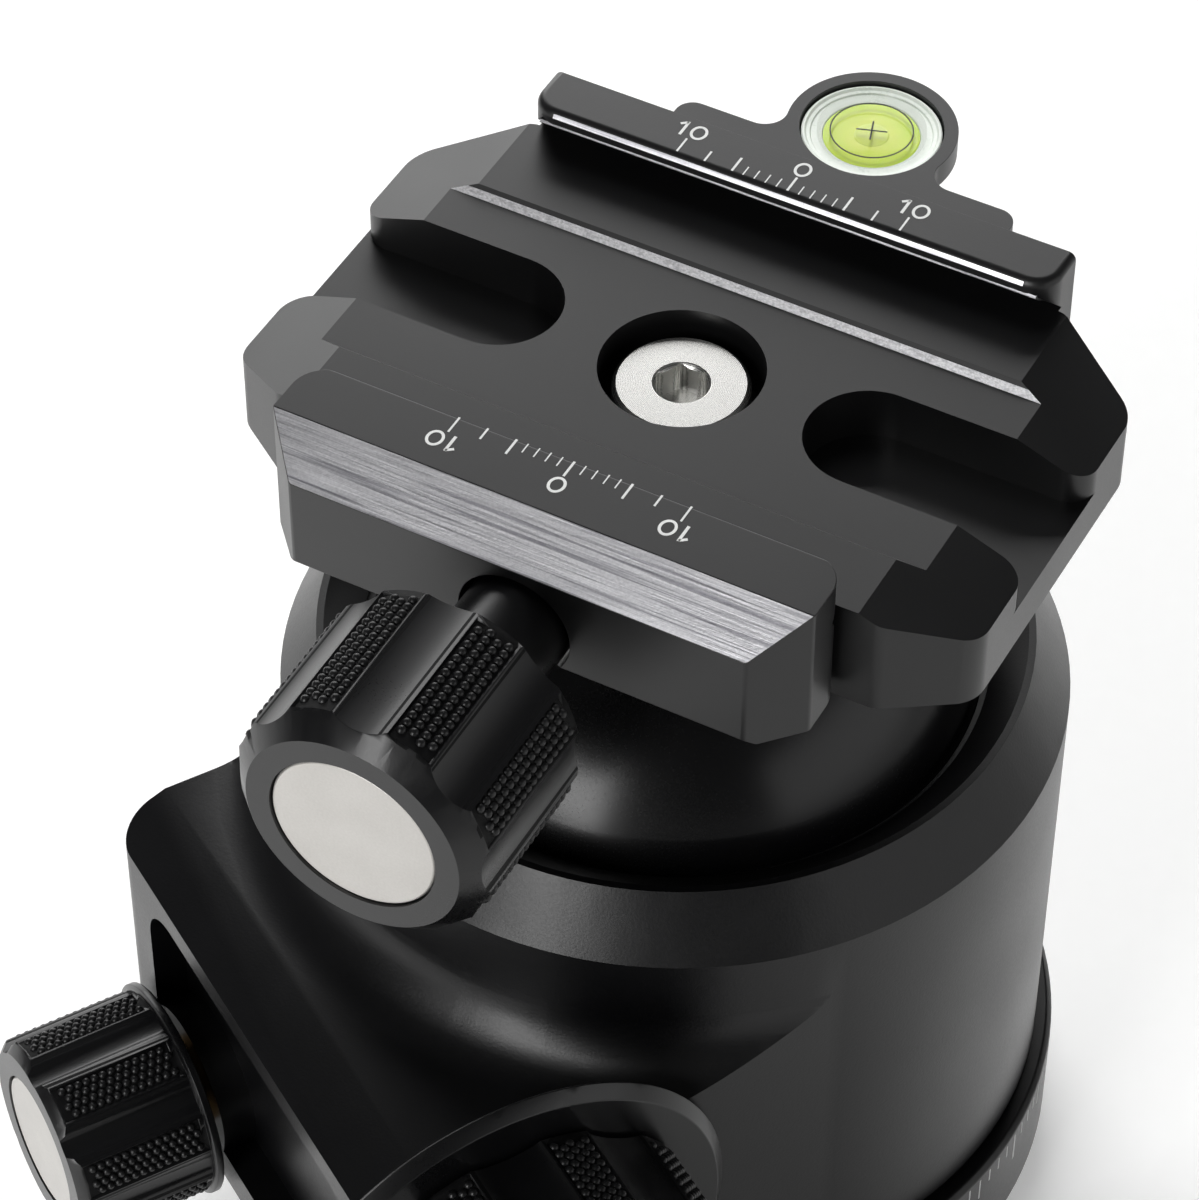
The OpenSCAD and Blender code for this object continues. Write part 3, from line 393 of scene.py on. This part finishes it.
def round_jaw_top(bm):
    """Rounds the fixed jaw's top along its lip, corners and ends, and eases its rear."""
    fine_chamfer, lip_round, rear_round, near = 0.31, 0.72, 0.3, 0.01
    for vert in bm.verts:
        place = vert.co / MM
        in_chamfer = HEAD_TOP - fine_chamfer < place.z < HEAD_TOP
        if in_chamfer and place.y < FIXED_EDGE + fine_chamfer:
            vert.co.z = HEAD_TOP * MM
    clean(bm)
    bm.normal_update()
    for width, at_rear in ((lip_round, False), (rear_round, True)):
        rim = []
        for edge in bm.edges:
            middle = (edge.verts[0].co + edge.verts[1].co) / 2 / MM
            on_top = min(v.co.z for v in edge.verts) > (HEAD_TOP - near) * MM
            rear = middle.y > FIXED_BACK - near
            if on_top and rear == at_rear and edge.is_manifold and on_rim(edge):
                rim.append(edge)
        round_off(bm, rim, width, 6)


def on_rear_step(face):
    """Whether a face lies on the slope between the deck and the rear rail."""
    place = face.calc_center_median() / MM
    near = abs(place.y - REAR_STEP[0]) < 0.6 and abs(place.z - REAR_STEP[1]) < 0.45
    return near and face.normal.y < -0.5 and face.normal.z > 0.5


def shape_clamp_body(bm):
    """Rounds the fixed jaw, and splits the rear step where its bare part ends."""
    round_jaw_top(bm)
    slope = [face for face in bm.faces if on_rear_step(face)]
    parts = dict.fromkeys(part for face in slope
                          for part in (face, *face.edges, *face.verts))
    bmesh.ops.bisect_plane(bm, geom=list(parts), dist=WELD / 2,
                           plane_co=(0, 0, BARE_TOP * MM), plane_no=(0, 0, 1))
    bm.normal_update()


def body_paint(face):
    """The lower part of the step up from the deck to the rear rail is cut bare."""
    low = face.calc_center_median().z < BARE_TOP * MM
    return 1 if low and on_rear_step(face) else 0


def widen_level_hole(bm):
    """Leaves a dark gap round the level's cup."""
    gap, near = 0.22, 0.03
    centre = Vector((0, LEVEL_Y * MM, 0))
    for vert in bm.verts:
        out = Vector((vert.co.x, vert.co.y, 0)) - centre
        if abs(out.length - CUP_HOLE_R * MM) < near * MM:
            vert.co += out.normalized() * gap * MM


eased("housing", BLACK["housing"], 0.22, least=24)
eased("clamp_body", [BLACK["clamp"], MILLED_STEP], 0.14,
      least=16, paint=body_paint, shape=shape_clamp_body, crease=18)
eased("movable_jaw", [BLACK["jaw"], BARE_CUT_AND_PAINTED_HIGHLIGHT], 0.12,
      paint=jaw_paint, crease=20)
eased("level_bracket", BLACK["clamp"], 0.4, steps=3,
      shape=widen_level_hole)
eased("base_plate", BLACK["housing"], 0.15)
eased("friction_ring", BLACK["grip"], 0.1)
eased("clamp_screw", STAINLESS_HEAD, 0.06)
eased("clamp_knob_cap", SATIN_DISC, 0.08)
eased("main_knob_cap", SATIN_DISC, 0.08)
eased("pan_knob_cap", SATIN_DISC, 0.06)


def along_jaws(name, outline, half, bare):
    """A bar along X from its (y, z) outline, whose side of one index takes the bright
    bare-metal finish that paints a highlight.
    """
    bm = bmesh.new()
    ends = [[bm.verts.new((side * half * MM, y * MM, z * MM)) for y, z in outline]
            for side in (-1, 1)]
    for end in ends:
        bm.faces.new(end)
    for one in range(len(outline)):
        two = (one + 1) % len(outline)
        side = bm.faces.new((ends[0][one], ends[0][two], ends[1][two], ends[1][one]))
        side.material_index = 1 if one == bare else 0
    cut_loose(bm, name, [BLACK["clamp"], BARE_CUT_AND_PAINTED_HIGHLIGHT], "ball_and_clamp")


def painted_jaw_highlight():
    """A bright bare-metal strip that paints the highlight along the fixed jaw's rounded front
    edge, up to its round corners.
    """
    upper, lower = (FIXED_EDGE + 0.20, 95.70), (FIXED_EDGE - 0.01, 95.38)
    out_y, out_z = -0.834, 0.551
    outline = [(y + out_y * out, z + out_z * out)
               for (y, z), out in ((upper, 0.06), (lower, 0.06),
                                   (lower, -0.1), (upper, -0.1))]
    along_jaws("fixed_jaw_painted_highlight", outline, FIXED_HALF - 2.4, bare=0)


def jaw_ledge():
    """The straight ledge under the fixed jaw's round corners, with a bright bare-metal front
    edge that paints the highlight along the lip's lower edge.
    """
    front, deep = FIXED_EDGE - 0.1, FIXED_EDGE + 2.4
    outline = [(front, LIP_LOW - 0.18), (front, LIP_LOW - 0.12),
               (front + 0.16, LIP_LOW + 0.04), (deep, LIP_LOW + 0.04),
               (deep, LIP_LOW - 2.4)]
    along_jaws("fixed_jaw_ledge", outline, FIXED_HALF - 1.2, bare=1)


painted_jaw_highlight()
jaw_ledge()


# ---------------------------------------------------------------- knobs

QUARTER = math.pi / 2
# Each knob's own axis as Z: the clamp's to the front, the main one's to the block's
# side and the pan lock's to the block's face
BLOCK = Matrix.Rotation(-math.radians(BLOCK_TURN), 4, "Z")
TO_FRONT = (Matrix.Translation(Vector((0, 0, KNOB_Z)) * MM)
            @ Matrix.Rotation(QUARTER, 4, "X"))
TO_SIDE = (BLOCK @ Matrix.Translation(Vector((0, -MAIN_REACH, MAIN_Z)) * MM)
           @ Matrix.Rotation(QUARTER, 4, "Y"))
TO_FACE = (BLOCK @ Matrix.Translation(Vector((PAN_SIDE, 0, PAN_Z)) * MM)
           @ Matrix.Rotation(QUARTER, 4, "X"))
KNURL_DEPTH = 0.34  # how far the lobes sink to make room for the beads
FLUTE_SHARE = 0.55  # share of the flutes' depth that is left
FLUTE_DEPTH = 0.12  # of the construction's flutes, as a share of the radius
FLUTE_FLOOR = 0.87  # all of a flute lies outside this share of the radius
KNURL_EDGE = 0.5  # plain strip behind the first beads
LOBE_FILL = 0.96  # share of a lobe's width that the rows of beads cover


def bead_lobe(radius, rear, length, flutes, chamfer, rows, pitch, bead):
    """A mesh with the beads of one lobe, about the knob's own Z axis."""
    flute_r = radius * 2.5 / flutes
    away = radius + flute_r - radius * FLUTE_DEPTH
    half_flute = math.acos((radius ** 2 + away ** 2 - flute_r ** 2) / (2 * radius * away))
    lobe = 2 * math.pi / flutes - 2 * half_flute
    first = rear + KNURL_EDGE + bead
    last_bead = 1.4 * bead
    count = int((length - chamfer - KNURL_EDGE - last_bead) / pitch)
    bm = bmesh.new()
    for row in range(rows):
        angle = ((row + 0.5) / rows - 0.5) * lobe * LOBE_FILL
        for step in range(count):
            spot = Vector((math.cos(angle), math.sin(angle), 0)) * (radius - bead)
            spot.z = first + (step + 0.5 * (row % 2)) * pitch
            place = (Matrix.Translation(spot * MM) @ Matrix.Rotation(angle, 4, "Z")
                     @ Matrix.Rotation(QUARTER, 4, "Y"))
            bmesh.ops.create_uvsphere(bm, u_segments=8, v_segments=6,
                                      radius=bead * MM, matrix=place)
    mesh = bpy.data.meshes.new("lobe")
    bm.to_mesh(mesh)
    bm.free()
    return mesh


def knurled(node, axis, radius, rear, length, flutes, chamfer, rows, pitch, bead):
    """A fluted knob: its lobes sink a little and carry rows of small beads.

    rear is where the grip begins on its axis, and chamfer the length of its front cone.
    """
    back = axis.inverted()
    cone_z = (rear + length - chamfer) * MM

    def sink_lobes(bm):
        """Sinks the lobes and makes the flutes shallower, also where they meet the cone."""
        for vert in bm.verts:
            local = back @ vert.co
            around = math.hypot(local.x, local.y)
            out = Vector((local.x, local.y, 0)).normalized()
            past_rear = local.z > (rear - 0.1) * MM
            short_of_face = local.z < (rear + length - 0.05) * MM
            if past_rear and around > (radius - 0.03) * MM:
                vert.co = axis @ (local - out * KNURL_DEPTH * MM)
            elif past_rear and short_of_face and around > radius * FLUTE_FLOOR * MM:
                depth = radius * MM - around
                local += out * depth * (1 - FLUTE_SHARE)
                local.z = min(local.z, cone_z + (local.z - cone_z) * FLUTE_SHARE)
                vert.co = axis @ local

    def dull_floor_painted_shade(face):
        """The sunk lobes between the beads take a darker colour, which is painted shade, and a
        duller finish.
        """
        local = back @ face.calc_center_median()
        around = math.hypot(local.x, local.y)
        sunk = abs(around - (radius - KNURL_DEPTH) * MM) < 0.06 * MM
        return 1 if sunk and abs((back.to_3x3() @ face.normal).z) < 0.2 else 0

    # The sunk floor between the beads gets the darker finish, painted shade in the recess
    eased(node, [BLACK["grip"], BLACK["knurl_floor_painted_shade"]], 0.12, least=24,
          paint=dull_floor_painted_shade, shape=sink_lobes)
    lobe_mesh = bead_lobe(radius, rear, length, flutes, chamfer, rows, pitch, bead)
    bm = bmesh.new()
    for flute in range(flutes):
        turned = lobe_mesh.copy()
        middle = (flute + 0.5) * 2 * math.pi / flutes
        turned.transform(axis @ Matrix.Rotation(middle, 4, "Z"))
        bm.from_mesh(turned)
        bpy.data.meshes.remove(turned)
    bpy.data.meshes.remove(lobe_mesh)
    beads = cut_loose(bm, node + "_knurl", BLACK["bead"], BODY_OF[node],
                      hold_normals=True)
    beads.data.polygons.foreach_set("use_smooth", [True] * len(beads.data.polygons))


knurled("clamp_knob", TO_FRONT, radius=10.9, rear=36.0, length=15.2, flutes=8,
        chamfer=1.9, rows=4, pitch=0.79, bead=0.42)
knurled("main_knob", TO_SIDE, radius=17.0, rear=35.15, length=17.0, flutes=10,
        chamfer=2.4, rows=5, pitch=0.84, bead=0.44)
knurled("pan_knob", TO_FACE, radius=9.4, rear=46.75, length=12.1, flutes=8,
        chamfer=1.0, rows=4, pitch=0.76, bead=0.39)


# ---------------------------------------------------------------- printing

PRINT = 0.02  # thickness of all printing
# Distance from 0 along the jaw: length and width of the tick
TICK_SIZES = {0: (1.77, 0.20), 10: (1.77, 0.17), 5: (1.77, 0.20), 7.5: (1.30, 0.17),
              1: (1.05, 0.11), 2: (1.05, 0.11), 3: (1.05, 0.11), 4: (1.05, 0.11)}
FIGURE_HEIGHT = 1.75
FIGURE_AWAY = 1.95  # from the ticks' start to the figures
PAN_TICKS = 144


def print_bar(bm, x, y0, y1, width):
    """A straight printed line along Y, standing a hair above the jaw's top."""
    place = Matrix.Translation(Vector((x, (y0 + y1) / 2, HEAD_TOP + PRINT / 2)) * MM)
    size = Matrix.Diagonal((width * MM, abs(y1 - y0) * MM, PRINT * MM, 1))
    bmesh.ops.create_cube(bm, size=1.0, matrix=place @ size)


def raise_print(bm, faces):
    """Gives flat printed faces their thickness."""
    grown = bmesh.ops.extrude_face_region(bm, geom=faces)
    tops = [v for v in grown["geom"] if isinstance(v, bmesh.types.BMVert)]
    bmesh.ops.translate(bm, verts=tops, vec=(0, 0, PRINT * MM))


def print_zero(bm, place):
    """An oval figure 0, drawn as a ring."""
    width, stroke = 1.45, 0.24
    made = bmesh.ops.create_circle(bm, cap_ends=True, segments=28, radius=0.5)
    face = made["verts"][0].link_faces[0]
    bmesh.ops.scale(bm, verts=made["verts"], vec=(width * MM, FIGURE_HEIGHT * MM, 1))
    bmesh.ops.transform(bm, verts=made["verts"], matrix=place)
    ring = bmesh.ops.inset_individual(bm, faces=[face], thickness=stroke * MM)["faces"]
    bmesh.ops.delete(bm, geom=[face], context="FACES")
    raise_print(bm, ring)


def print_one(bm, place):
    """A figure 1: an upright with a short flag."""
    width, height, stroke = 0.9, FIGURE_HEIGHT, 0.25
    for centre, size, lean in (((width * 0.18, 0), (stroke, height), 0),
                               ((-width * 0.12, height * 0.34), (stroke, height * 0.40), -52)):
        made = bmesh.ops.create_grid(bm, x_segments=1, y_segments=1, size=0.5)
        shape = (place @ Matrix.Translation(Vector((*centre, 0)) * MM)
                 @ Matrix.Rotation(math.radians(lean), 4, "Z")
                 @ Matrix.Diagonal((size[0] * MM, size[1] * MM, 1, 1)))
        bmesh.ops.transform(bm, verts=made["verts"], matrix=shape)
        raise_print(bm, made["verts"][0].link_faces[:])


def print_scale(name, body, start, way):
    """Ticks and figures from 10 through 0 to 10. way is +1 rearwards, -1 forwards."""
    bm = bmesh.new()
    for along, (length, width) in TICK_SIZES.items():
        for side in ((-1, 1) if along else (1,)):
            print_bar(bm, side * along, start, start + way * length, width)
    figures_y = start + way * (FIGURE_AWAY + FIGURE_HEIGHT / 2)
    facing = Matrix.Rotation(0 if way > 0 else math.pi, 4, "Z")
    for centre_x in (-10, 0, 10):
        place = Matrix.Translation(Vector((centre_x, figures_y, HEAD_TOP)) * MM) @ facing
        if centre_x:
            print_one(bm, place @ Matrix.Translation((-0.95 * MM, 0, 0)))
            print_zero(bm, place @ Matrix.Translation((0.55 * MM, 0, 0)))
        else:
            print_zero(bm, place)
    cut_loose(bm, name, PRINT_WHITE, body)


def print_pan_scale():
    """White ticks round the base ring, longer at every fourth and twelfth."""
    bm = bmesh.new()
    for step in range(PAN_TICKS):
        length = 3.4 if step % 12 == 0 else 2.6 if step % 4 == 0 else 1.5
        width = 0.30 if step % 12 == 0 else 0.18
        middle = Vector((PAN_RING_R, 0, PAN_TICKS_TOP - length / 2))
        place = (Matrix.Rotation(math.radians(step * 360 / PAN_TICKS), 4, "Z")
                 @ Matrix.Translation(middle * MM))
        size = Matrix.Diagonal((PRINT * MM, width * MM, length * MM, 1))
        bmesh.ops.create_cube(bm, size=1.0, matrix=place @ size)
    cut_loose(bm, "pan_scale", PRINT_WHITE, "base")


print_scale("fixed_jaw_scale", "ball_and_clamp", 17.9, 1)
print_scale("movable_jaw_scale", "jaw", -17.5, -1)
print_pan_scale()


# ---------------------------------------------------------------- bubble level


def spun(outline, steps=64):
    """A closed ring or disc: an outline of (radius, height) spun round the level."""
    bm = bmesh.new()
    corners = [bm.verts.new((r * MM, 0, z * MM)) for r, z in outline]
    edges = [bm.edges.new((a, b)) for a, b in zip(corners, corners[1:] + corners[:1])]
    bmesh.ops.spin(bm, geom=corners + edges, cent=(0, 0, 0), axis=(0, 0, 1),
                   angle=2 * math.pi, steps=steps, use_merge=True)
    bmesh.ops.remove_doubles(bm, verts=bm.verts, dist=1e-7)
    bmesh.ops.dissolve_degenerate(bm, edges=bm.edges, dist=1e-8)
    bmesh.ops.translate(bm, verts=bm.verts, vec=(0, LEVEL_Y * MM, 0))
    return bm


# Outlines of (radius, height)
CUP_STEPS = [(0, 89.02), (5.88, 89.02), (5.88, 90.24), (5.78, 90.34), (5.6, 90.34),
             (5.44, 90.16), (5.16, 90.12), (5.06, 89.98), (4.72, 89.94), (4.16, 89.92),
             (4.08, 89.84), (4.08, 89.3), (0, 89.3)]
FLUID_DOME = [(0, 89.32), (4.06, 89.32), (4.06, 89.82), (3.96, 89.87), (0, 89.88)]
BUBBLE_DOME = [(0, 89.86), (1.5, 89.86), (1.46, 89.885), (1.30, 89.895), (0, 89.9)]
CIRCLE = [(3.40, 90.40), (3.52, 90.40), (3.52, 90.44), (3.40, 90.44)]
CROSS_ARMS = ((2.6, 0.15), (0.15, 2.4))
CROSS_Z = 90.42
CROSS_TURN = 19  # degrees


def level_cross():
    """The black cross in the middle of the level."""
    bm = bmesh.new()
    place = (Matrix.Translation(Vector((0, LEVEL_Y, CROSS_Z)) * MM)
             @ Matrix.Rotation(math.radians(CROSS_TURN), 4, "Z"))
    for across, along in CROSS_ARMS:
        size = Matrix.Diagonal((across * MM, along * MM, PRINT * MM, 1))
        bmesh.ops.create_cube(bm, size=1.0, matrix=place @ size)
    cut_loose(bm, "level_cross", MARK_BLACK, "ball_and_clamp")


smooth(cut_loose(spun(CUP_STEPS), "level_cup_stepped", CUP_WHITE, "ball_and_clamp",
                 ["level_cup"]), 24)
smooth(cut_loose(spun(FLUID_DOME), "level_fluid_dome", FLUID, "ball_and_clamp",
                 ["level_fluid"]))
smooth(cut_loose(spun(BUBBLE_DOME, 40), "level_bubble", BUBBLE, "ball_and_clamp"))
cut_loose(spun(CIRCLE), "level_circle", MARK_BLACK, "ball_and_clamp")
level_cross()


# ---------------------------------------------------------------- other nodes

# Nodes that keep the construction's own shape
FINISHED_NODES = (
    (BLACK["ball"], ("ball",)),
    (BLACK["grip"], ("wedge_channel_plug",)),
    (STEEL, ("thread_insert", "drum_screws_set", "retaining_ring_screws",
             "bracket_screws", "anti_twist_pins", "guide_pins", "clamp_shaft",
             "clamp_thrust_washer", "main_shaft", "pan_shaft", "lock_wedge")),
    (SPRING, ("jaw_springs", "cup_spring")),
    (RAW_ALUMINIUM, ("pan_drum", "drum_carrier", "retaining_ring")),
    (BRONZE, ("main_shaft_bush", "pan_shaft_bush", "ball_shoe", "pan_shoe")),
    (BEARING_PLASTIC, ("pan_bearing_washer", "lower_ball_cup")),
    (LINER_BLACK, ("upper_ball_liner",)),
    (CLEAR, ("level_lens",)),
)
for node_finish, node_names in FINISHED_NODES:
    for node_name in node_names:
        nodes[node_name].data.materials.clear()
        nodes[node_name].data.materials.append(node_finish)


# ---------------------------------------------------------------- studio

CAMERA_PLACE = (123.09, -242.20, 347.02)
CAMERA_RIGHT = (0.87868, 0.47740, 0.00392)
CAMERA_UP = (-0.34628, 0.63165, 0.69362)
SENSOR, LENS = 36.0, 142.5
LAMPS_MIDDLE = (0, 0, 60)
LAMPS = (
    # name, compass, rise, away, width, height, level, seen by mirrors
    ("key", -31, 23, 900, 48, 39, 2.8, True),
    ("front_strip", -174, 21, 700, 20, 42, 6.5, True),
    ("side", 88, 14, 900, 60, 24, 0.8, True),
    ("overhead", -40, 62, 700, 24, 24, 11.0, False),
)
FLOOR_HALF = 3.0  # metres
PAINTED_SHADE_WAY = (0.85, -0.53, 0)  # the floor's glow fades out this way, leaving painted shade on the ground in front and to the right


def set_camera():
    """A long lens that looks down on the head."""
    camera = bpy.data.cameras.new("camera")
    camera.sensor_fit = "HORIZONTAL"
    camera.sensor_width = SENSOR
    camera.lens = LENS
    camera.clip_start = 0.01
    camera.clip_end = 20.0
    holder = bpy.data.objects.new("camera", camera)
    bpy.context.scene.collection.objects.link(holder)
    right, up = Vector(CAMERA_RIGHT), Vector(CAMERA_UP)
    back = right.cross(up).normalized()
    turn = Matrix((right.normalized(), up.normalized(), back)).transposed().to_4x4()
    holder.matrix_world = Matrix.Translation(Vector(CAMERA_PLACE) * MM) @ turn
    bpy.context.scene.camera = holder


def add_softbox(name, compass, rise, away, width, height, level, mirrored):
    """A soft lamp that faces the object, placed by the way it lies.

    compass turns from the rear to the right and rise lifts from the floor, in
    degrees. width and height are the angles it fills, and level is its brightness.
    """
    lamp = bpy.data.lights.new(name, "AREA")
    lamp.shape = "RECTANGLE"
    lamp.size = 2 * away * MM * math.tan(math.radians(width / 2))
    lamp.size_y = 2 * away * MM * math.tan(math.radians(height / 2))
    lamp.energy = level * math.pi * lamp.size * lamp.size_y
    holder = bpy.data.objects.new(name, lamp)
    bpy.context.scene.collection.objects.link(holder)
    holder.visible_glossy = mirrored
    turn, lift = math.radians(compass), math.radians(rise)
    way = Vector((math.sin(turn) * math.cos(lift), math.cos(turn) * math.cos(lift),
                  math.sin(lift)))
    holder.matrix_world = (Matrix.Translation((way * away + Vector(LAMPS_MIDDLE)) * MM)
                           @ (-way).to_track_quat("-Z", "Y").to_matrix().to_4x4())


def calculated(tree, operation, first, second):
    """A math node's result from two other nodes' results."""
    node = tree.nodes.new("ShaderNodeMath")
    node.operation = operation
    tree.links.new(first, node.inputs[0])
    tree.links.new(second, node.inputs[1])
    return node.outputs[0]


def set_floor():
    """Pale paper. Its glow whitens the ground behind and beside the object, and fades out in
    front and to the right of it, which paints shade there for the object's front to mirror.
    """
    bm = bmesh.new()
    bmesh.ops.create_grid(bm, x_segments=1, y_segments=1, size=FLOOR_HALF)
    mesh = bpy.data.meshes.new("floor")
    bm.to_mesh(mesh)
    bm.free()
    floor = bpy.data.objects.new("floor", mesh)
    bpy.context.scene.collection.objects.link(floor)
    paper, tree, shader = new_finish("floor_paper")
    own = place_pattern(tree)
    fibre = cloud(tree, own, 1.5, 3.0)
    tree.links.new(tint(tree, fibre, (0.78, 0.78, 0.775), (0.82, 0.82, 0.815)),
                   shader.inputs["Base Color"])
    shader.inputs["Roughness"].default_value = 0.9
    shader.inputs["Specular IOR Level"].default_value = 0.1
    shader.inputs["Emission Color"].default_value = (1, 1, 1, 1)
    forward = tree.nodes.new("ShaderNodeVectorMath")
    forward.operation = "DOT_PRODUCT"
    forward.inputs[1].default_value = PAINTED_SHADE_WAY
    tree.links.new(own, forward.inputs[0])
    # Glow that fades out towards the front right: the darker ground there is painted shade
    behind = spread(tree, forward.outputs["Value"], 0.32, 0.0, 0.028, 0.058)
    # The glow is for the camera, mirrors and glass, and puts no light on the object
    path = tree.nodes.new("ShaderNodeLightPath")
    seen = calculated(tree, "MAXIMUM", path.outputs["Is Camera Ray"],
                      path.outputs["Is Glossy Ray"])
    seen = calculated(tree, "MAXIMUM", seen, path.outputs["Is Transmission Ray"])
    tree.links.new(calculated(tree, "MULTIPLY", seen, behind),
                   shader.inputs["Emission Strength"])
    mesh.materials.append(paper)


def set_world():
    """A dim room over a pale horizon."""
    world = bpy.data.worlds.new("studio")
    bpy.context.scene.world = world
    world.use_nodes = True
    tree = world.node_tree
    backdrop = tree.nodes["Background"]
    coords = tree.nodes.new("ShaderNodeTexCoord")
    apart = tree.nodes.new("ShaderNodeSeparateXYZ")
    tree.links.new(coords.outputs["Generated"], apart.inputs["Vector"])
    level = spread(tree, apart.outputs["Z"], 1.0, 0.05, -0.02, 0.04)
    tree.links.new(level, backdrop.inputs["Strength"])
    backdrop.inputs["Color"].default_value = (1, 1, 1, 1)


set_camera()
for lamp_row in LAMPS:
    add_softbox(*lamp_row)
set_floor()
set_world()
bpy.context.scene.view_settings.view_transform = "Standard"
